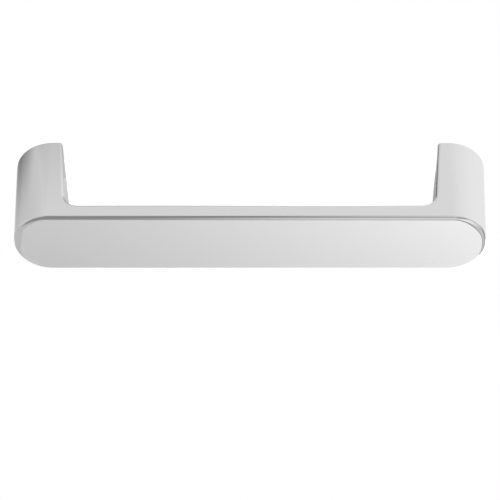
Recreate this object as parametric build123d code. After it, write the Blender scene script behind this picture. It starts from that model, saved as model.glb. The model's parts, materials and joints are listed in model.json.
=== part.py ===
from build123d import *
from math import radians, tan
import os

# Cast cabinet pull: a pill-shaped grip bar whose round ends run straight back as two legs to flat feet.
# The origin is midway between the two screw holes, on the plane of the feet.
# +X runs along the bar, +Y runs into the cabinet front and +Z is up.

# Driving dimensions, in millimetres
HOLE_SPACING = 128.0        # between the centres of the two screw holes
END_OVERHANG = 5.75         # front face, past each hole centre
FACE_HEIGHT = 22.5          # front face, from its upper to its lower edge
END_FLAT = 1.7              # straight part in the middle of each round end
PROJECTION = 30.0           # feet to front face
BAR_THICKNESS = 5.4         # front face to finger gap
FOOT_INSET = 7.4            # hole centre to the inner side of its foot
FACE_EDGE_RADIUS = 1.1      # rounding round the front face
GAP_CORNER_RADIUS = 4.2     # inside corners where the bar meets the legs
GAP_EDGE_RADIUS = 1.0       # rounding along the upper and lower rims of the finger gap
FOOT_EDGE_RADIUS = 0.4      # edge that polishing leaves round each foot
CORE_DIAMETER = 3.3         # screw hole before tapping, for an M4 screw
CORE_DEPTH = 12.0           # screw hole at full width, from the plane of the feet
CUT_MARGIN = 1.0            # how far a cut runs past the casting

# Driving angles, in degrees
OUTER_DRAFT = 3.0           # each side of the body leans outwards, from the face to the feet
INNER_DRAFT = 5.0           # each leg's inner side leans outwards, from the bar to the foot
DRILL_ANGLE = 118.0         # whole angle of the screw hole's end

# Sizes that follow
hole_x = HOLE_SPACING / 2
face_length = HOLE_SPACING + 2 * END_OVERHANG
end_radius = (FACE_HEIGHT - END_FLAT) / 2
foot_half_height = FACE_HEIGHT / 2 + PROJECTION * tan(radians(OUTER_DRAFT))
gap_depth = PROJECTION - BAR_THICKNESS
gap_lean = tan(radians(INNER_DRAFT))
gap_half_at_foot = hole_x - FOOT_INSET
gap_half_at_bar = gap_half_at_foot - gap_depth * gap_lean


def make_body():
    """The casting before its finger gap: the face's outline, widening back to the feet, with its edge rounded."""
    face_plane = Plane(origin=(0, -PROJECTION, 0), x_dir=(1, 0, 0), z_dir=(0, 1, 0))
    outline = face_plane * RectangleRounded(face_length, FACE_HEIGHT, end_radius)
    body = extrude(outline, amount=PROJECTION, taper=-OUTER_DRAFT)
    face_edges = body.edges().group_by(Axis.Y)[0]
    return fillet(face_edges, FACE_EDGE_RADIUS)


def make_finger_gap():
    """The space behind the bar, with leaning ends and round inside corners, open above, below and behind."""
    gap_half_at_mouth = gap_half_at_foot + CUT_MARGIN * gap_lean
    corners = (
        (-gap_half_at_bar, -gap_depth),
        (gap_half_at_bar, -gap_depth),
        (gap_half_at_mouth, CUT_MARGIN),
        (-gap_half_at_mouth, CUT_MARGIN),
    )
    plan = make_face(Polyline(*corners, close=True))
    inside_corners = plan.vertices().group_by(Axis.Y)[0]
    plan = fillet(inside_corners, GAP_CORNER_RADIUS)
    return extrude(plan, amount=foot_half_height + CUT_MARGIN, both=True)


def make_screw_hole():
    """A blind hole along -Y from the plane of the feet: straight core and drilled end."""
    core_radius = CORE_DIAMETER / 2
    point_depth = core_radius / tan(radians(DRILL_ANGLE / 2))
    section = (
        (0, 0),
        (core_radius, 0),
        (core_radius, -CORE_DEPTH),
        (0, -CORE_DEPTH - point_depth),
    )
    return revolve(make_face(Polyline(*section, close=True)), axis=Axis.Y)


def make_pull():
    """The finished casting."""
    body = make_body()
    gap = make_finger_gap()
    pull = body - gap
    gap_rims = new_edges(body, gap, combined=pull).filter_by(Axis.Z, reverse=True)
    pull = fillet(gap_rims, GAP_EDGE_RADIUS)
    foot_edges = pull.edges().group_by(Axis.Y)[-1]
    pull = fillet(foot_edges, FOOT_EDGE_RADIUS)
    screw_hole = make_screw_hole()
    return pull - [Pos(side * hole_x, 0, 0) * screw_hole for side in (-1, 1)]


pull_handle = make_pull()
os.makedirs("parts", exist_ok=True)
export_step(pull_handle, "parts/pull_handle.step")
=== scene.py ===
"""Looks of a one-piece cast cabinet pull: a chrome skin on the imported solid, in a plain white studio."""

from __future__ import annotations

import json
import logging
import math
from dataclasses import dataclass
from enum import Enum
from typing import Any, Union

import bpy
import numpy as np
from mathutils import Matrix, Vector

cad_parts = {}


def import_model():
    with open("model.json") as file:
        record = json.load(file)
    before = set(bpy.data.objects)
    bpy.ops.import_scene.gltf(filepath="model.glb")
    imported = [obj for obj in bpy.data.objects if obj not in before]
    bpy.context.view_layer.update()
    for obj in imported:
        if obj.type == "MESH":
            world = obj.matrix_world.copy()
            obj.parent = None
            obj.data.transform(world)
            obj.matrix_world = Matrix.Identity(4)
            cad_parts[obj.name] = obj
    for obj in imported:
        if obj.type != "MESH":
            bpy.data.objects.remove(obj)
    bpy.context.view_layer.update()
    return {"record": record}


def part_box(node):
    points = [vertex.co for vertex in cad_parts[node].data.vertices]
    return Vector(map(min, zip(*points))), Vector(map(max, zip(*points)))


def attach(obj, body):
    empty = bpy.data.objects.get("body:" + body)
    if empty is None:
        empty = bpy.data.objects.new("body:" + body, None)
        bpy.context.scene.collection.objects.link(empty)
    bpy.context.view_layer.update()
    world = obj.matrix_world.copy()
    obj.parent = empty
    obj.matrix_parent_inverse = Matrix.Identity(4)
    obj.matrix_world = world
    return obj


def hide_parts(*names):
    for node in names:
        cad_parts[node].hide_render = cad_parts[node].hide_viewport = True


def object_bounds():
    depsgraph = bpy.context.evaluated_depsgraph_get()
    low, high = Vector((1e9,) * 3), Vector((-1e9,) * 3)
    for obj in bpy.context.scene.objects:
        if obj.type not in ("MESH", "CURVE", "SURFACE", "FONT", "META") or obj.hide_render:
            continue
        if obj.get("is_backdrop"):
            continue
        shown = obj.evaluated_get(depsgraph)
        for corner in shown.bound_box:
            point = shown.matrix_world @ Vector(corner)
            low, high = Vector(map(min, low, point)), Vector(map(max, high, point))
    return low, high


log = logging.getLogger("cabinet_pull")

MM = 0.001
NODE = "pull_handle"
BODY = "root"
HOLES = "screw_holes"

WHITE = (1.0, 1.0, 1.0, 1.0)
HALF_TURN = 180.0
# Elevation past straight up, and below zero past straight down, which leaves a wall open there
OPEN = 110.0

MIRROR_X = np.array((-1.0, 1.0, 1.0))
MIRROR_Z = np.array((1.0, 1.0, -1.0))
TO_CABINET = np.array((0.0, 1.0, 0.0))


class Finish(Enum):
    """A finish of the casting; its value is the place of its material on the piece."""

    POLISHED = 0
    GROUND = 1
    THREADED = 2


def turn_between(start: np.ndarray, end: np.ndarray, steps: int) -> np.ndarray:
    """Unit vectors that turn evenly from one direction to another.

    Args:
        start: Unit vectors where the turn starts, of any shape that ends in 3.
        end: Unit vectors where it ends, of a shape that fits start.
        steps: Number of equal turns.

    Returns:
        The vectors, with the steps as a new axis before the last one.
    """
    start, end = np.broadcast_arrays(start, end)
    angle = np.arccos(np.clip(np.sum(start * end, axis=-1), -1.0, 1.0))[..., None, None]
    share = np.linspace(0.0, 1.0, steps + 1)[:, None]
    near = np.sin((1.0 - share) * angle) * start[..., None, :]
    far = np.sin(share * angle) * end[..., None, :]
    return (near + far) / np.sin(angle)


def between(start: np.ndarray, end: np.ndarray, steps: int) -> np.ndarray:
    """Points evenly spaced from one place to another.

    Args:
        start: Points where the lines start, of any shape that ends in 3.
        end: Points where they end, of the same shape.
        steps: Number of equal spaces.

    Returns:
        The points, with the steps as a new axis before the last one.
    """
    share = np.linspace(0.0, 1.0, steps + 1)[:, None]
    return start[..., None, :] * (1.0 - share) + end[..., None, :] * share


class Skin:
    """Collects grids of surface points with their exact normals, and welds them into one mesh."""

    WELD = 0.0001 * MM

    def __init__(self) -> None:
        """Start with no grids."""
        self.points: list[np.ndarray] = []
        self.normals: list[np.ndarray] = []
        self.quads: list[np.ndarray] = []
        self.finishes: list[np.ndarray] = []
        self.count = 0

    def add(self, points: np.ndarray, normals: np.ndarray, finish: Finish) -> None:
        """Add one grid of quads.

        Args:
            points: Surface points, rows by columns by 3.
            normals: Outward unit normals, of a shape that fits points.
            finish: Finish of the grid's faces.
        """
        rows, columns = points.shape[:2]
        normals = np.broadcast_to(normals, points.shape)
        index = self.count + np.arange(rows * columns).reshape(rows, columns)
        corners = (index[:-1, :-1], index[1:, :-1], index[1:, 1:], index[:-1, 1:])
        quads = np.stack([corner.ravel() for corner in corners], axis=1)
        self.points.append(points.reshape(-1, 3))
        self.normals.append(normals.reshape(-1, 3))
        self.quads.append(quads)
        self.finishes.append(np.full(len(quads), finish.value))
        self.count += rows * columns

    def add_mirrored(
        self, points: np.ndarray, normals: np.ndarray, finish: Finish, mirror: np.ndarray
    ) -> None:
        """Add one grid and its mirror image.

        Args:
            points: Surface points, rows by columns by 3.
            normals: Outward unit normals, of a shape that fits points.
            finish: Finish of both grids' faces.
            mirror: Signs of the three axes in the mirror image.
        """
        self.add(points, normals, finish)
        self.add(points * mirror, np.broadcast_to(normals, points.shape) * mirror, finish)

    def to_mesh(self, name: str) -> bpy.types.Mesh:
        """Weld the grids into one closed mesh that keeps their normals.

        Args:
            name: Name of the mesh.

        Returns:
            The mesh, with each face's finish as its material index.
        """
        points = np.concatenate(self.points)
        normals = np.concatenate(self.normals)
        quads = np.concatenate(self.quads)
        diagonal = points[quads[:, 2]] - points[quads[:, 0]]
        other_diagonal = points[quads[:, 3]] - points[quads[:, 1]]
        facing = np.sum(np.cross(diagonal, other_diagonal) * normals[quads].sum(axis=1), axis=1)
        quads = np.where(facing[:, None] < 0.0, quads[:, ::-1], quads)
        _, first, welded = np.unique(
            np.round(points / self.WELD).astype(np.int64), axis=0, return_index=True, return_inverse=True
        )
        welded = welded.ravel()
        faces: list[list[int]] = []
        corner_normals: list[np.ndarray] = []
        finishes: list[int] = []
        for quad, finish in zip(quads, np.concatenate(self.finishes)):
            corners = [place for place in range(4) if welded[quad[place]] != welded[quad[place - 1]]]
            if len(corners) < 3:
                continue
            faces.append([int(welded[quad[place]]) for place in corners])
            corner_normals.extend(normals[quad[place]] for place in corners)
            finishes.append(int(finish))
        mesh = bpy.data.meshes.new(name)
        mesh.from_pydata(points[first].tolist(), [], faces, shade_flat=False)
        mesh.polygons.foreach_set("material_index", finishes)
        mesh.normals_split_custom_set([tuple(normal) for normal in corner_normals])
        return mesh


@dataclass(frozen=True)
class TappedHole:
    """A blind tapped hole in a foot: sizes in metres, angles in radians.

    Attributes:
        core_radius: Radius of the bore at the thread's crests.
        core_depth: Depth of the bore at full width.
        root_radius: Radius at the bottom of the thread's grooves.
        mouth_radius: Radius of the chamfered mouth on the foot.
        pitch: Distance from one thread to the next.
        thread_depth: Depth at which the thread runs out.
        drill_angle: Whole angle of the bore's pointed end.
        crest_share: Share of each flank that is the flat crest.
        root_share: Share of each flank that is the flat bottom of the groove.
        rows_per_thread: Rows of faces on each thread.
    """

    core_radius: float
    core_depth: float = 12.0 * MM
    root_radius: float = 2.0 * MM
    mouth_radius: float = 2.2 * MM
    pitch: float = 0.7 * MM
    thread_depth: float = 9.8 * MM
    drill_angle: float = math.radians(118.0)
    crest_share: float = 0.25
    root_share: float = 0.125
    rows_per_thread: int = 8

    def mouth(self, centre_x: float, angles: np.ndarray) -> np.ndarray:
        """Points round the mouth, on the plane of the feet.

        Args:
            centre_x: Place of the hole's axis.
            angles: Angles about the axis, from +X towards +Z.

        Returns:
            One point for each angle.
        """
        return self._ring(centre_x, angles, np.full(angles.shape, self.mouth_radius), 0.0)

    def add_to(self, skin: Skin, centre_x: float, angles: np.ndarray) -> None:
        """Add the hole's wall and pointed end.

        Args:
            skin: Mesh that takes the faces.
            centre_x: Place of the hole's axis.
            angles: Angles of the faces' edges about the axis, from +X towards +Z.
        """
        rows = int(round(self.core_depth / self.pitch * self.rows_per_thread))
        depths = np.linspace(0.0, self.core_depth, rows + 1)
        radii = np.stack([self._radius(depth, angles) for depth in depths])
        rings = [self._ring(centre_x, angles, radius, -depth) for radius, depth in zip(radii, depths)]
        wall = np.stack(rings)
        skin.add(wall, self._wall_normals(wall, angles), Finish.THREADED)
        point_depth = self.core_radius / math.tan(self.drill_angle / 2)
        tip = np.broadcast_to(np.array((centre_x, -self.core_depth - point_depth, 0.0)), wall[-1].shape)
        lean = self.drill_angle / 2
        inward = np.stack((-np.cos(angles), np.zeros(angles.shape), -np.sin(angles)), axis=-1)
        cone_normals = inward * math.cos(lean) + TO_CABINET * math.sin(lean)
        skin.add(np.stack((wall[-1], tip)), cone_normals, Finish.THREADED)

    def _radius(self, depth: float, angles: np.ndarray) -> np.ndarray:
        """Radius of the wall: a right-hand thread that fades out below and opens into the chamfer above."""
        turn = depth / self.pitch - angles / math.tau
        ridge = np.abs(2.0 * (turn - np.floor(turn)) - 1.0)
        flank = 1.0 - self.crest_share - self.root_share
        groove = np.clip((ridge - self.crest_share) / flank, 0.0, 1.0)
        run_out = np.clip((self.thread_depth - depth) / self.pitch, 0.0, 1.0)
        threaded = self.core_radius + (self.root_radius - self.core_radius) * groove * run_out
        return np.maximum(threaded, self.mouth_radius - depth)

    @staticmethod
    def _ring(centre_x: float, angles: np.ndarray, radii: np.ndarray, y: float) -> np.ndarray:
        """Points at given radii about the hole's axis, in one plane across it."""
        x = centre_x + radii * np.cos(angles)
        z = radii * np.sin(angles)
        return np.stack((x, np.full(angles.shape, y), z), axis=-1)

    @staticmethod
    def _wall_normals(wall: np.ndarray, angles: np.ndarray) -> np.ndarray:
        """Normals of the wall from its own points, turned towards the axis."""
        down = np.gradient(wall, axis=0)
        closed = np.concatenate((wall[:, -2:-1], wall, wall[:, 1:2]), axis=1)
        round_axis = closed[:, 2:] - closed[:, :-2]
        normals = np.cross(down, round_axis)
        normals /= np.linalg.norm(normals, axis=-1, keepdims=True)
        inward = np.stack((-np.cos(angles), np.zeros(angles.shape), -np.sin(angles)), axis=-1)
        return normals * np.sign(np.sum(normals * inward, axis=-1, keepdims=True))


@dataclass(frozen=True)
class PullCasting:
    """The pull's one casting: sizes in metres, drafts in radians, feet on the plane y = 0.

    Attributes:
        hole_spacing: Distance between the two screw holes.
        projection: Distance from the feet to the front face.
        hole: The tapped hole in each foot.
        end_overhang: Front face past each hole's axis.
        face_height: Front face, top to bottom.
        end_flat: Straight part in the middle of each round end.
        bar_thickness: Front face to finger gap.
        foot_inset: Hole's axis to the inner side of its foot.
        face_edge: Radius round the front face.
        face_edge_gain: Rise of that radius by buffing, midway round each quarter of the round ends.
        gap_corner: Radius of the gap's inside corners.
        gap_edge: Radius along the gap's rims.
        foot_edge: Radius round each foot.
        outer_draft: Lean of the outer sides.
        inner_draft: Lean of the legs' inner sides.
        end_steps: Faces round each round end.
        leg_steps: Faces along each leg.
        corner_steps: Faces round each inside corner of the gap.
        bar_steps: Faces along the bar.
        side_steps: Faces across the flat upper and lower sides.
        face_steps: Faces across the front face.
        wall_steps: Faces across the gap's walls.
        face_edge_steps: Faces across the front face's edge.
        gap_edge_steps: Faces across a rim of the gap.
        foot_edge_steps: Faces across a foot's edge.
        foot_steps: Faces from a foot's edge to its hole.
    """

    hole_spacing: float
    projection: float
    hole: TappedHole
    end_overhang: float = 5.75 * MM
    face_height: float = 22.5 * MM
    end_flat: float = 1.7 * MM
    bar_thickness: float = 5.4 * MM
    foot_inset: float = 7.4 * MM
    face_edge: float = 1.22 * MM
    face_edge_gain: float = 0.45 * MM
    gap_corner: float = 4.2 * MM
    gap_edge: float = 1.0 * MM
    foot_edge: float = 0.7 * MM
    outer_draft: float = math.radians(3.0)
    inner_draft: float = math.radians(5.0)
    end_steps: int = 64
    leg_steps: int = 12
    corner_steps: int = 16
    bar_steps: int = 24
    side_steps: int = 3
    face_steps: int = 2
    wall_steps: int = 16
    face_edge_steps: int = 14
    gap_edge_steps: int = 12
    foot_edge_steps: int = 6
    foot_steps: int = 3

    @classmethod
    def from_frame(cls, record: dict[str, Any]) -> PullCasting:
        """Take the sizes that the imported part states, and keep the rest.

        Args:
            record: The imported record.

        Returns:
            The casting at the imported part's size.
        """
        screw_holes = next(mount for mount in record["mounts"] if mount["name"] == HOLES)
        low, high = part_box(NODE)
        return cls(
            hole_spacing=screw_holes["dims"]["spacing_x_mm"] * MM,
            projection=high.y - low.y,
            hole=TappedHole(core_radius=screw_holes["dims"]["hole_r_mm"] * MM),
        )

    @property
    def hole_x(self) -> float:
        """Place of the right-hand hole's axis."""
        return self.hole_spacing / 2

    @property
    def end_x(self) -> float:
        """Place of the centres of the right-hand round end."""
        return self.hole_x + self.end_overhang - self.end_radius(-self.projection)

    @property
    def gap_back(self) -> float:
        """Place of the bar's back, behind the feet's plane."""
        return self.bar_thickness - self.projection

    @property
    def side_normal(self) -> np.ndarray:
        """Normal of the flat upper side."""
        return np.array((0.0, -math.sin(self.outer_draft), math.cos(self.outer_draft)))

    @property
    def leg_normal(self) -> np.ndarray:
        """Normal of the right-hand leg's inner side."""
        return np.array((-math.cos(self.inner_draft), math.sin(self.inner_draft), 0.0))

    def face_contact(self, radius: np.ndarray | float) -> np.ndarray | float:
        """Where the outer sides meet the rounding of the front face, for a given radius."""
        return -self.projection + radius * (1.0 - math.sin(self.outer_draft))

    def edge_radius(self, directions: np.ndarray) -> np.ndarray:
        """Radius round the front face, for directions across the round ends."""
        return self.face_edge + self.face_edge_gain * (2.0 * directions[:, 0] * directions[:, 2]) ** 2

    @property
    def foot_contact(self) -> float:
        """Where the outer sides meet the rounding of the feet."""
        return -self.foot_edge * (1.0 + math.sin(self.outer_draft))

    def half_height(self, y: np.ndarray | float) -> np.ndarray | float:
        """Half the height of the outer sides, at a given depth."""
        return self.face_height / 2 + (y + self.projection) * math.tan(self.outer_draft)

    def end_radius(self, y: np.ndarray | float) -> np.ndarray | float:
        """Radius of the round ends, at a given depth."""
        return self.half_height(y) - self.end_flat / 2

    def build(self) -> bpy.types.Object:
        """Build the casting's mesh.

        Returns:
            The casting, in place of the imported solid.
        """
        skin = Skin()
        self._add_face(skin)
        self._add_round_ends(skin)
        self._add_gap_and_sides(skin)
        self._add_feet(skin)
        casting = bpy.data.objects.new("pull_casting", skin.to_mesh("pull_casting"))
        bpy.context.scene.collection.objects.link(casting)
        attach(casting, BODY)
        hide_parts(NODE)
        return casting

    def dress(self, casting: bpy.types.Object, finishes: dict[Finish, bpy.types.Material]) -> None:
        """Give the casting its finishes.

        Args:
            casting: The built casting.
            finishes: Material of each finish.
        """
        for finish in Finish:
            casting.data.materials.append(finishes[finish])

    def _end_fan(self) -> tuple[np.ndarray, np.ndarray]:
        """Centres and directions across the right-hand round end, from its lower to its upper side."""
        quarter = np.linspace(0.0, math.pi / 2, self.end_steps // 2 + 1)
        angles = np.concatenate((-quarter[::-1], (0.0,), quarter))
        directions = np.stack((np.cos(angles), np.zeros(angles.shape), np.sin(angles)), axis=-1)
        heights = np.concatenate((np.full(quarter.shape, -0.5), (0.0,), np.full(quarter.shape, 0.5)))
        centres = np.zeros(directions.shape)
        centres[:, 0] = self.end_x
        centres[:, 2] = heights * self.end_flat
        return centres, directions

    def _bar_stations(self) -> np.ndarray:
        """Places along the bar's outer edge, from the right-hand end's centre to the left-hand one's."""
        corner_x = self._corner_centre()[0]
        lead = np.linspace(self.end_x, corner_x, self.corner_steps // 2 + 1)
        middle = np.linspace(corner_x, -corner_x, self.bar_steps + 1)
        return np.concatenate((lead, middle[1:-1], -lead[::-1]))

    def _leg_stations(self, radii: np.ndarray) -> np.ndarray:
        """Depths along a leg's outer side, from its foot to the front face's rounding of given radii."""
        corner_y = self._corner_centre()[1] - self.gap_corner * math.sin(self.inner_draft)
        foot = np.full(radii.shape, self.foot_contact)
        corner = np.full(radii.shape, corner_y)
        leg = np.linspace(foot, corner, self.leg_steps + 1, axis=-1)
        lead = np.linspace(corner, self.face_contact(radii), self.corner_steps // 2 + 1, axis=-1)
        return np.concatenate((leg, lead[:, 1:]), axis=-1)

    def _leg_x(self, y: np.ndarray | float, inset: float) -> np.ndarray | float:
        """Place of a line inside the right-hand leg, parallel to its inner side."""
        inner = self.hole_x - self.foot_inset + y * math.tan(self.inner_draft)
        return inner + inset / math.cos(self.inner_draft)

    def _corner_centre(self) -> tuple[float, float]:
        """Centre of the gap's right-hand inside corner, in plan."""
        y = self.gap_back + self.gap_corner
        return self._leg_x(y, -self.gap_corner), y

    def _add_face(self, skin: Skin) -> None:
        """Add the flat front face and its rounded edge."""
        end_centres, end_directions = self._end_fan()
        half = len(end_centres) // 2
        end_centres = end_centres[half:]
        end_directions = end_directions[half:]
        stations = self._bar_stations()[1:-1]
        bar_centres = np.tile(end_centres[-1], (len(stations), 1))
        bar_centres[:, 0] = stations
        bar_directions = np.tile(end_directions[-1], (len(stations), 1))
        centres = np.concatenate((end_centres, bar_centres, end_centres[::-1] * MIRROR_X))
        directions = np.concatenate((end_directions, bar_directions, end_directions[::-1] * MIRROR_X))
        front = -TO_CABINET
        outward = directions * math.cos(self.outer_draft) + front * math.sin(self.outer_draft)
        normals = turn_between(np.broadcast_to(front, outward.shape), outward, self.face_edge_steps)
        radii = self.edge_radius(directions)
        arc_y = -self.projection + radii
        reach = self.end_radius(arc_y) - radii / math.cos(self.outer_draft)
        arc_centres = centres + directions * reach[:, None]
        arc_centres[:, 1] = arc_y
        edge = arc_centres[:, None, :] + normals * radii[:, None, None]
        skin.add_mirrored(edge, normals, Finish.POLISHED, MIRROR_Z)
        rim = edge[:, 0]
        skin.add(between(rim, rim * MIRROR_Z, self.face_steps), front, Finish.POLISHED)

    def _add_round_ends(self, skin: Skin) -> None:
        """Add the outer sides of the two legs."""
        centres, directions = self._end_fan()
        depths = self._leg_stations(self.edge_radius(directions))
        points = centres[:, None, :] + directions[:, None, :] * self.end_radius(depths)[..., None]
        points[..., 1] = depths
        normals = directions * math.cos(self.outer_draft) - TO_CABINET * math.sin(self.outer_draft)
        skin.add_mirrored(points, normals[:, None, :], Finish.POLISHED, MIRROR_X)

    def _rim_centres(self, x: np.ndarray, y: np.ndarray) -> np.ndarray:
        """Centres of the upper rim's rounding, at given places in plan."""
        return np.stack((x, y, self.half_height(y) - self.gap_edge / math.cos(self.outer_draft)), axis=-1)

    def _foot_rim(self) -> tuple[np.ndarray, np.ndarray]:
        """Normals of the right-hand leg's upper rim, and its centres' depths at the foot's edge."""
        normals = turn_between(self.side_normal, self.leg_normal, self.gap_edge_steps)
        depths = -self.foot_edge - (self.gap_edge - self.foot_edge) * normals[:, 1]
        return normals, depths

    def _gap_sections(self) -> tuple[np.ndarray, np.ndarray]:
        """Points and normals of the upper rim's rounding, from the right-hand foot to the left-hand one."""
        leg_normals, foot_depths = self._foot_rim()
        corner_x, corner_y = self._corner_centre()
        spread = self.gap_corner + self.gap_edge
        turns = np.linspace(-self.inner_draft, -math.pi / 2, self.corner_steps + 1)
        start_y = corner_y + spread * math.sin(turns[0])
        share = np.linspace(0.0, 1.0, self.leg_steps + 1)[:, None]
        leg_y = foot_depths * (1.0 - share) + start_y * share
        leg_centres = self._rim_centres(self._leg_x(leg_y, self.gap_edge), leg_y)
        leg = leg_centres + leg_normals * self.gap_edge
        wall_normals = -np.stack((np.cos(turns), np.sin(turns), np.zeros(turns.shape)), axis=-1)
        side_normals = np.broadcast_to(self.side_normal, wall_normals.shape)
        corner_normals = turn_between(side_normals, wall_normals, self.gap_edge_steps)
        turn_x = corner_x + spread * np.cos(turns)
        turn_y = corner_y + spread * np.sin(turns)
        corner_centres = self._rim_centres(turn_x, turn_y)
        corner =corner_centres[:, None, :] + corner_normals * self.gap_edge
        half = np.concatenate((leg, corner[1:]))
        half_normals = np.concatenate((np.broadcast_to(leg_normals, leg.shape), corner_normals[1:]))
        bar = between(half[-1], half[-1] * MIRROR_X, self.bar_steps).swapaxes(0, 1)[1:-1]
        bar_normals = np.broadcast_to(half_normals[-1], bar.shape)
        points = np.concatenate((half, bar, half[::-1] * MIRROR_X))
        normals = np.concatenate((half_normals, bar_normals, half_normals[::-1] * MIRROR_X))
        return points, normals

    def _add_gap_and_sides(self, skin: Skin) -> None:
        """Add the finger gap's walls and rims, and the flat upper and lower sides round it."""
        rim, normals = self._gap_sections()
        skin.add_mirrored(rim, normals, Finish.POLISHED, MIRROR_Z)
        top = rim[:, -1]
        skin.add(between(top, top * MIRROR_Z, self.wall_steps), normals[:, -1:], Finish.POLISHED)
        leg_y = self._leg_stations(np.array((self.face_edge,)))[0]
        bar_x = self._bar_stations()
        leg_x = np.full(len(leg_y), self.end_x)
        outer_x = np.concatenate((leg_x, bar_x[1:-1], -leg_x))
        bar_y = np.full(len(bar_x) - 2, self.face_contact(self.face_edge))
        outer_y = np.concatenate((leg_y, bar_y, leg_y[::-1]))
        outer = np.stack((outer_x, outer_y, self.half_height(outer_y)), axis=-1)
        side = between(outer, rim[:, 0], self.side_steps)
        skin.add_mirrored(side, self.side_normal, Finish.POLISHED, MIRROR_Z)

    def _foot_outline(self) -> tuple[np.ndarray, np.ndarray]:
        """Centres and outer normals of the rounding round the right-hand foot, as one closed loop."""
        fan_centres, directions = self._end_fan()
        end_normals = directions * math.cos(self.outer_draft) - TO_CABINET * math.sin(self.outer_draft)
        reach = self.end_radius(self.foot_contact) - self.foot_edge * math.cos(self.outer_draft)
        end_centres = fan_centres + directions * reach
        rim_normals, rim_depths = self._foot_rim()
        rim_centres = self._rim_centres(self._leg_x(rim_depths, self.gap_edge), rim_depths)
        rim_centres += rim_normals * (self.gap_edge - self.foot_edge)
        flat_centres = between(end_centres[-1], rim_centres[0], self.side_steps)
        wall_centres = between(rim_centres[-1], rim_centres[-1] * MIRROR_Z, self.wall_steps)
        upper = np.concatenate((flat_centres[1:], rim_centres[1:]))
        flat_normals = np.broadcast_to(self.side_normal, flat_centres[1:].shape)
        upper_normals = np.concatenate((flat_normals, rim_normals[1:]))
        wall_normals = np.broadcast_to(self.leg_normal, wall_centres[1:-1].shape)
        lower = (upper * MIRROR_Z)[::-1]
        lower_normals = (upper_normals * MIRROR_Z)[::-1]
        centres = np.concatenate((end_centres, upper, wall_centres[1:-1], lower, end_centres[:1]))
        normals = np.concatenate((end_normals, upper_normals, wall_normals, lower_normals, end_normals[:1]))
        centres[:, 1] = -self.foot_edge
        return centres, normals

    def _add_feet(self, skin: Skin) -> None:
        """Add the feet, with their rounded edges and tapped holes."""
        centres, outer_normals = self._foot_outline()
        normals = turn_between(outer_normals, TO_CABINET, self.foot_edge_steps)
        edge = centres[:, None, :] + normals * self.foot_edge
        skin.add_mirrored(edge, normals, Finish.POLISHED, MIRROR_X)
        outline = edge[:, -1]
        angles = np.unwrap(np.arctan2(outline[:, 2], outline[:, 0] - self.hole_x))
        foot = between(outline, self.hole.mouth(self.hole_x, angles), self.foot_steps)
        skin.add_mirrored(foot, TO_CABINET, Finish.GROUND, MIRROR_X)
        self.hole.add_to(skin, self.hole_x, angles)
        self.hole.add_to(skin, -self.hole_x, math.pi - angles)


class Value:
    """A number in a shader: arithmetic on it adds Math nodes."""

    def __init__(self, graph: Graph, socket: bpy.types.NodeSocket) -> None:
        """Wrap an output socket of a graph."""
        self.graph = graph
        self.socket = socket

    def __add__(self, other: Term) -> Value:
        """Sum of this and another number."""
        return self.graph.math("ADD", self, other)

    def __radd__(self, other: Term) -> Value:
        """Sum of another number and this."""
        return self.graph.math("ADD", other, self)

    def __sub__(self, other: Term) -> Value:
        """This less another number."""
        return self.graph.math("SUBTRACT", self, other)

    def __rsub__(self, other: Term) -> Value:
        """Another number less this."""
        return self.graph.math("SUBTRACT", other, self)

    def __mul__(self, other: Term) -> Value:
        """Product of this and another number."""
        return self.graph.math("MULTIPLY", self, other)

    def __rmul__(self, other: Term) -> Value:
        """Product of another number and this."""
        return self.graph.math("MULTIPLY", other, self)

    def past(self, edge: float, soft: float) -> Value:
        """A smooth step from 0 to 1 across a blurred edge, which is soft on either side of its middle."""
        sockets = {"Value": self, "From Min": edge - soft, "From Max": edge + soft}
        step = self.graph.add("ShaderNodeMapRange", {"interpolation_type": "SMOOTHSTEP"}, sockets)
        return Value(self.graph, step.outputs["Result"])

    def towards(self, other: Term, share: Term) -> Value:
        """This, moved towards another number by a share of the way."""
        return self + (other - self) * share


Term = Union[Value, float]


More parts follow.
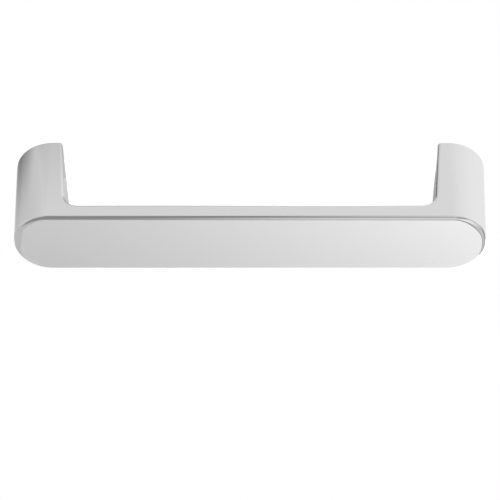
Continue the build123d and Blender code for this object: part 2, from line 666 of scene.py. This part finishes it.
class Graph:
    """Adds nodes to one node tree, each with its settings first and then its sockets."""

    def __init__(self, tree: bpy.types.NodeTree) -> None:
        """Take a node tree and empty it."""
        self.tree = tree
        tree.nodes.clear()

    def add(
        self, kind: str, settings: dict[str, Any] | None = None, sockets: dict[str | int, Any] | None = None
    ) -> bpy.types.Node:
        """Add one node.

        Args:
            kind: The node's type.
            settings: The node's own settings, by name.
            sockets: Values or links of its input sockets, by name or place.

        Returns:
            The node.
        """
        node = self.tree.nodes.new(kind)
        for name, setting in (settings or {}).items():
            setattr(node, name, setting)
        for name, given in (sockets or {}).items():
            source = given.socket if isinstance(given, Value) else given
            if isinstance(source, bpy.types.NodeSocket):
                self.tree.links.new(source, node.inputs[name])
            else:
                node.inputs[name].default_value = source
        return node

    def math(self, operation: str, *terms: Term) -> Value:
        """Add a Math node on one, two or three numbers."""
        node = self.add("ShaderNodeMath", {"operation": operation}, dict(enumerate(terms)))
        return Value(self, node.outputs["Value"])

    def place(self) -> bpy.types.NodeSocket:
        """The place on the object, in metres."""
        return self.add("ShaderNodeTexCoord").outputs["Object"]

    def split(self, vector: bpy.types.NodeSocket) -> tuple[Value, Value, Value]:
        """The three numbers of a vector."""
        node = self.add("ShaderNodeSeparateXYZ", sockets={"Vector": vector})
        return tuple(Value(self, node.outputs[axis]) for axis in "XYZ")

    def noise(self, place: bpy.types.NodeSocket, size: float, detail: float) -> Value:
        """Even noise whose patches have a given size in metres."""
        sockets = {"Vector": place, "Scale": 1.0 / size, "Detail": detail}
        return Value(self, self.add("ShaderNodeTexNoise", sockets=sockets).outputs["Fac"])

    def metal(
        self,
        colour: tuple[float, float, float],
        roughness: Term,
        normal: bpy.types.NodeSocket | None = None,
    ) -> None:
        """End the graph in a metal.

        Args:
            colour: Colour of its reflections.
            roughness: Roughness, as a number or a pattern.
            normal: Normal that its unevenness gives, if it has any.
        """
        sockets = {"Base Color": (*colour, 1.0), "Metallic": 1.0, "Roughness": roughness}
        if normal is not None:
            sockets["Normal"] = normal
        shader = self.add("ShaderNodeBsdfPrincipled", sockets=sockets)
        self.add("ShaderNodeOutputMaterial", sockets={"Surface": shader.outputs["BSDF"]})


@dataclass(frozen=True)
class PolishedChrome:
    """Bright plating over buffed metal: nearly a mirror, with a faint uneven haze and long shallow waves.

    Attributes:
        colour: Colour of the reflections.
        roughness: Roughness where the polish is best.
        haze: Rise of the roughness where it is worst.
        haze_size: Width of the hazy patches, in metres.
        wave_size: Length of the buffing waves, in metres.
        wave_height: Height of the buffing waves, in metres.
    """

    colour: tuple[float, float, float] = (0.80, 0.80, 0.805)
    roughness: float = 0.05
    haze: float = 0.03
    haze_size: float = 14.0 * MM
    wave_size: float = 24.0 * MM
    wave_height: float = 0.002 * MM

    def material(self) -> bpy.types.Material:
        """Make the finish's material."""
        material, graph = start_material("polished_chrome")
        place = graph.place()
        haze = graph.noise(place, self.haze_size, detail=3.0)
        wave = graph.noise(place, self.wave_size, detail=0.0)
        bump = graph.add("ShaderNodeBump", sockets={"Height": wave, "Distance": self.wave_height})
        graph.metal(self.colour, self.roughness + haze * self.haze, bump.outputs["Normal"])
        return material


@dataclass(frozen=True)
class GroundFoot:
    """A foot ground flat and plated: a satin face with fine straight grinding lines.

    Attributes:
        colour: Colour of the reflections.
        roughness: Roughness between the lines.
        line_roughness: Rise of the roughness on a line.
        line_width: Width of the lines, in metres.
        line_length: Length of the lines, in metres.
        line_depth: Depth of the lines, in metres.
    """

    colour: tuple[float, float, float] = (0.66, 0.66, 0.67)
    roughness: float = 0.22
    line_roughness: float = 0.16
    line_width: float = 0.12 * MM
    line_length: float = 9.0 * MM
    line_depth: float = 0.004 * MM

    def material(self) -> bpy.types.Material:
        """Make the finish's material."""
        material, graph = start_material("ground_foot")
        stretch = (self.line_width / self.line_length, 1.0, 1.0)
        stretched = graph.add("ShaderNodeMapping", sockets={"Vector": graph.place(), "Scale": stretch})
        lines = graph.noise(stretched.outputs["Vector"], self.line_width, detail=2.0)
        bump = graph.add("ShaderNodeBump", sockets={"Height": lines, "Distance": self.line_depth})
        graph.metal(self.colour, self.roughness + lines * self.line_roughness, bump.outputs["Normal"])
        return material


@dataclass(frozen=True)
class CutThread:
    """Metal as the tap left it in the screw holes: dull, with a little plating that reached inside.

    Attributes:
        colour: Colour of the reflections.
        roughness: Roughness all over.
    """

    colour: tuple[float, float, float] = (0.46, 0.46, 0.45)
    roughness: float = 0.34

    def material(self) -> bpy.types.Material:
        """Make the finish's material."""
        material, graph = start_material("cut_thread")
        graph.metal(self.colour, self.roughness)
        return material


def start_material(name: str) -> tuple[bpy.types.Material, Graph]:
    """Make an empty material.

    Args:
        name: Name of the material.

    Returns:
        The material and its graph.
    """
    material = bpy.data.materials.new(name)
    material.use_nodes = True
    return material, Graph(material.node_tree)


@dataclass(frozen=True)
class Wall:
    """A pale wall, cloth or board of the studio, as the pull mirrors it: angles in degrees.

    Attributes:
        left: Bearing of its left edge, from straight behind the pull towards the right.
        right: Bearing of its right edge.
        bottom: Elevation of its lower edge.
        top: Elevation of its upper edge.
        soft: Half the width of its blurred edges.
        level: Brightness in the middle of the studio.
        slope: Gain in brightness from the middle to the far right.
    """

    left: float
    right: float
    bottom: float
    top: float
    soft: float
    level: float
    slope: float = 0.0

    def mask(self, graph: Graph, bearing: Value, elevation: Value) -> Value:
        """Where the wall stands, as seen from the pull.

        Args:
            graph: The world's graph.
            bearing: Bearing of the direction, in degrees.
            elevation: Elevation of the direction, in degrees.

        Returns:
            1 on the wall and 0 off it.
        """
        half = (self.right - self.left) / 2
        turn = graph.math("WRAP", bearing - (self.left + half), HALF_TURN, -HALF_TURN)
        beside = graph.math("ABSOLUTE", turn).past(half, self.soft)
        over_bottom = elevation.past(self.bottom, self.soft)
        over_top = elevation.past(self.top, self.soft)
        return (1.0 - beside) * (1.0 - over_top) * over_bottom


@dataclass(frozen=True)
class PaintedShadeCard:
    """A grey card of painted shade with blurred edges behind the pull, in place of the shade on the floor
    and backdrop there: lengths in metres.

    Attributes:
        name: Name of the card.
        back: Distance behind the pull's feet.
        left: Middle of its blurred left edge.
        left_soft: Half the width of that edge.
        right: Middle of its blurred right edge.
        right_soft: Half the width of that edge.
        top: Middle of its blurred upper edge.
        top_soft: Half the width of that edge.
        bottom: Middle of its blurred lower edge.
        bottom_soft: Half the width of that edge.
        level: Brightness of the card's painted shade.
    """

    name: str
    back: float
    left: float
    left_soft: float
    right: float
    right_soft: float
    top: float
    top_soft: float
    bottom: float
    bottom_soft: float
    level: float

    def build(self) -> None:
        """Make the card of painted shade, which only the polished metal shows."""
        low_x, high_x = self.left - self.left_soft, self.right + self.right_soft
        low_z, high_z = self.bottom - self.bottom_soft, self.top + self.top_soft
        corners = [(low_x, 0.0, low_z), (high_x, 0.0, low_z), (high_x, 0.0, high_z), (low_x, 0.0, high_z)]
        mesh = bpy.data.meshes.new(self.name)
        mesh.from_pydata(corners, [], [(0, 1, 2, 3)])
        card = bpy.data.objects.new(self.name, mesh)
        card.location = (0.0, self.back, 0.0)
        card.visible_camera = False
        card.visible_diffuse = False
        card.visible_shadow = False
        bpy.context.scene.collection.objects.link(card)
        card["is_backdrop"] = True
        mesh.materials.append(self._material())

    def _material(self) -> bpy.types.Material:
        """Make the card's painted shade: a grey glow, which clears towards its edges."""
        material, graph = start_material(self.name)
        across, _, height = graph.split(graph.place())
        past_left = across.past(self.left, self.left_soft)
        past_right = across.past(self.right, self.right_soft)
        over_bottom = height.past(self.bottom, self.bottom_soft)
        over_top = height.past(self.top, self.top_soft)
        cover = past_left * (1.0 - past_right) * (1.0 - over_top) * over_bottom
        grey = (self.level, self.level, self.level, 1.0)
        # Painted shade: a grey glow that only the metal shows, in place of the shaded floor and backdrop
        painted_shade = graph.add("ShaderNodeEmission", sockets={"Color": grey})
        clear = graph.add("ShaderNodeBsdfTransparent")
        sockets = {0: cover, 1: clear.outputs[0], 2: painted_shade.outputs[0]}
        mixed = graph.add("ShaderNodeMixShader", sockets=sockets)
        graph.add("ShaderNodeOutputMaterial", sockets={"Surface": mixed.outputs[0]})
        return material


@dataclass(frozen=True)
class Studio:
    """A white floor, one soft lamp, pale walls and two grey cards of painted shade: lengths in metres.

    Attributes:
        floor_left: Left edge of the floor.
        floor_right: Right edge of the floor.
        floor_front: Front edge of the floor.
        floor_back: Back edge of the floor.
        floor_colour: Colour of the floor.
        floor_lift: Light that the floor adds for the camera, so that only the pull's shadow stays grey.
        floor_gleam: Light that the floor adds in the metal's reflections.
        lamp_place: Middle of the lamp.
        lamp_size: Side of the square lamp.
        lamp_watts: Power of the lamp.
        room: Brightness of the room round the walls.
        fill: Share of that brightness that falls on the floor.
        walls: The walls, each over those before it.
        cards: The grey cards of painted shade behind the pull, which the metal mirrors in place of the
            shade on the floor and backdrop there.
    """

    floor_left: float = -0.070
    floor_right: float = 0.072
    floor_front: float = -0.072
    floor_back: float = 0.018
    floor_colour: tuple[float, float, float] = (0.785, 0.785, 0.785)
    floor_lift: float = 0.7
    floor_gleam: float = 0.05
    lamp_place: tuple[float, float, float] = (0.20, -0.20, 0.20)
    lamp_size: float = 0.18
    lamp_watts: float = 1.2
    room: float = 0.30
    fill: float = 0.62
    walls: tuple[Wall, ...] = (
        # Cloth on the left
        Wall(left=-115.0, right=-65.0, bottom=-OPEN, top=80.0, soft=20.0, level=0.75),
        # Table past the floor, in front and on the left
        Wall(left=-190.0, right=-70.0, bottom=-OPEN, top=-5.0, soft=10.0, level=0.60),
        # Wall behind the pull, brighter towards the right
        Wall(left=-70.0, right=70.0, bottom=-OPEN, top=75.0, soft=1.0, level=0.82, slope=0.20),
        # Board in front on the right, with a bright strip across its upper half
        Wall(left=100.0, right=155.0, bottom=-75.0, top=40.0, soft=10.0, level=0.65),
        Wall(left=115.0, right=165.0, bottom=-5.0, top=30.0, soft=10.0, level=1.0),
        # White board on the right
        Wall(left=65.0, right=95.0, bottom=-10.0, top=80.0, soft=15.0, level=1.0),
        # Board in front, just right of the middle
        Wall(left=160.0, right=181.0, bottom=-2.0, top=50.0, soft=5.0, level=0.80),
        # Ceiling
        Wall(left=35.0, right=165.0, bottom=60.0, top=OPEN, soft=20.0, level=0.75),
    )
    # Painted shade: grey cards that only the metal mirrors, standing in for the shade on the floor and
    # backdrop behind the pull
    cards: tuple[PaintedShadeCard, ...] = (
        PaintedShadeCard(
            name="dark_painted_shade",
            back=75.0 * MM,
            left=-155.0 * MM,
            left_soft=45.0 * MM,
            right=0.0,
            right_soft=35.0 * MM,
            top=30.0 * MM,
            top_soft=35.0 * MM,
            bottom=-70.0 * MM,
            bottom_soft=45.0 * MM,
            level=0.05,
        ),
        PaintedShadeCard(
            name="grey_painted_shade",
            back=10.0 * MM,
            left=-75.0 * MM,
            left_soft=5.0 * MM,
            right=-40.0 * MM,
            right_soft=20.0 * MM,
            top=25.0 * MM,
            top_soft=45.0 * MM,
            bottom=-290.0 * MM,
            bottom_soft=5.0 * MM,
            level=0.55,
        ),
    )

    def build(self) -> bpy.types.Object:
        """Make the floor, the cards of painted shade, the lamp and the world.

        Returns:
            The floor.
        """
        low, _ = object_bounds()
        floor = self._build_floor(low.z)
        for card in self.cards:
            card.build()
        self._build_lamp()
        self._build_world()
        return floor

    def _build_floor(self, height: float) -> bpy.types.Object:
        """Make the floor under the pull."""
        front = [(x, self.floor_front, height) for x in (self.floor_left, self.floor_right)]
        back = [(x, self.floor_back, height) for x in (self.floor_right, self.floor_left)]
        mesh = bpy.data.meshes.new("floor")
        mesh.from_pydata(front + back, [], [(0, 1, 2, 3)])
        floor = bpy.data.objects.new("floor", mesh)
        bpy.context.scene.collection.objects.link(floor)
        floor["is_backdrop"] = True
        material, graph = start_material("white_floor")
        paper = graph.add("ShaderNodeBsdfDiffuse", sockets={"Color": (*self.floor_colour, 1.0)})
        path = graph.add("ShaderNodeLightPath")
        seen = Value(graph, path.outputs["Is Camera Ray"])
        glossy = Value(graph, path.outputs["Is Glossy Ray"])
        through = Value(graph, path.outputs["Is Transmission Ray"])
        glow = seen * self.floor_lift + (glossy + through) * self.floor_gleam
        lift = graph.add("ShaderNodeEmission", sockets={"Color": glow})
        lifted = graph.add("ShaderNodeAddShader", sockets={0: paper.outputs[0], 1: lift.outputs[0]})
        graph.add("ShaderNodeOutputMaterial", sockets={"Surface": lifted.outputs[0]})
        mesh.materials.append(material)
        return floor

    def _build_lamp(self) -> None:
        """Make the soft lamp, which the polished metal doesn't mirror."""
        data = bpy.data.lights.new("soft_lamp", "AREA")
        data.size = self.lamp_size
        data.energy = self.lamp_watts
        lamp = bpy.data.objects.new("soft_lamp", data)
        lamp.location = self.lamp_place
        lamp.rotation_euler = (-lamp.location).to_track_quat("-Z", "Y").to_euler()
        lamp.visible_glossy = False
        bpy.context.scene.collection.objects.link(lamp)

    def _build_world(self) -> None:
        """Make the walls that the metal mirrors, and the white that the camera sees behind the pull."""
        world = bpy.data.worlds.new("studio")
        world.use_nodes = True
        bpy.context.scene.world = world
        graph = Graph(world.node_tree)
        right, back, up = graph.split(graph.add("ShaderNodeTexCoord").outputs["Generated"])
        bearing = graph.math("DEGREES", graph.math("ARCTAN2", right, back))
        elevation = graph.math("DEGREES", graph.math("ARCSINE", up))
        level: Term = self.room
        for wall in self.walls:
            mask = wall.mask(graph, bearing, elevation)
            level = (wall.level + wall.slope * right - level) * mask + level
        path = graph.add("ShaderNodeLightPath")
        spread = Value(graph, path.outputs["Is Diffuse Ray"])
        seen = Value(graph, path.outputs["Is Camera Ray"])
        level = level.towards(level * self.fill, spread)
        sockets = {"Color": WHITE, "Strength": level.towards(1.0, seen)}
        background = graph.add("ShaderNodeBackground", sockets=sockets)
        graph.add("ShaderNodeOutputWorld", sockets={"Surface": background.outputs[0]})


@dataclass(frozen=True)
class PhotoCamera:
    """The camera at the photograph's viewing angle: lengths in metres, angles in radians.

    Attributes:
        lens_mm: Focal length for the sensor's width.
        sensor_mm: Width of the sensor.
        elevation: Angle of the view below the horizon.
        azimuth: Turn of the view about the upright axis.
        roll: Turn of the picture about the view.
        distance: Depth of the pull's middle along the view.
        up: Pull's middle, above the picture's centre.
    """

    lens_mm: float = 138.6
    sensor_mm: float = 36.0
    elevation: float = math.radians(47.84)
    azimuth: float = math.radians(0.80)
    roll: float = math.radians(0.57)
    distance: float = 579.7 * MM
    up: float = 12.85 * MM

    def place(self) -> bpy.types.Object:
        """Make the camera and the scene's view settings.

        Returns:
            The scene's camera.
        """
        low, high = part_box(NODE)
        middle = (low + high) / 2
        flat, drop = math.cos(self.elevation), math.sin(self.elevation)
        forward = Vector((-math.sin(self.azimuth) * flat, math.cos(self.azimuth) * flat, -drop))
        level = Vector((math.cos(self.azimuth), math.sin(self.azimuth), 0.0))
        turned = Matrix.Rotation(self.roll, 3, forward)
        x_axis = turned @ level
        y_axis = x_axis.cross(forward)
        data = bpy.data.cameras.new("photo_camera")
        data.lens = self.lens_mm
        data.sensor_width = self.sensor_mm
        camera = bpy.data.objects.new("photo_camera", data)
        axes = Matrix((x_axis, y_axis, -forward)).transposed()
        place = middle - self.up * y_axis - self.distance * forward
        camera.matrix_world = Matrix.Translation(place) @ axes.to_4x4()
        bpy.context.scene.collection.objects.link(camera)
        bpy.context.scene.camera = camera
        bpy.context.scene.view_settings.view_transform = "Standard"
        return camera


def main() -> None:
    """Build the pull, the studio and the camera."""
    logging.basicConfig(level=logging.INFO, format="%(name)s: %(message)s")
    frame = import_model()
    pull = PullCasting.from_frame(frame["record"])
    casting = pull.build()
    log.info("built %s with %d faces", casting.name, len(casting.data.polygons))
    finishes = {
        Finish.POLISHED: PolishedChrome().material(),
        Finish.GROUND: GroundFoot().material(),
        Finish.THREADED: CutThread().material(),
    }
    pull.dress(casting, finishes)
    log.info("dressed %s in %d finishes", casting.name, len(finishes))
    floor = Studio().build()
    log.info("built %s, lamp and walls", floor.name)
    camera = PhotoCamera().place()
    log.info("placed %s", camera.name)


if __name__ == "__main__":
    main()
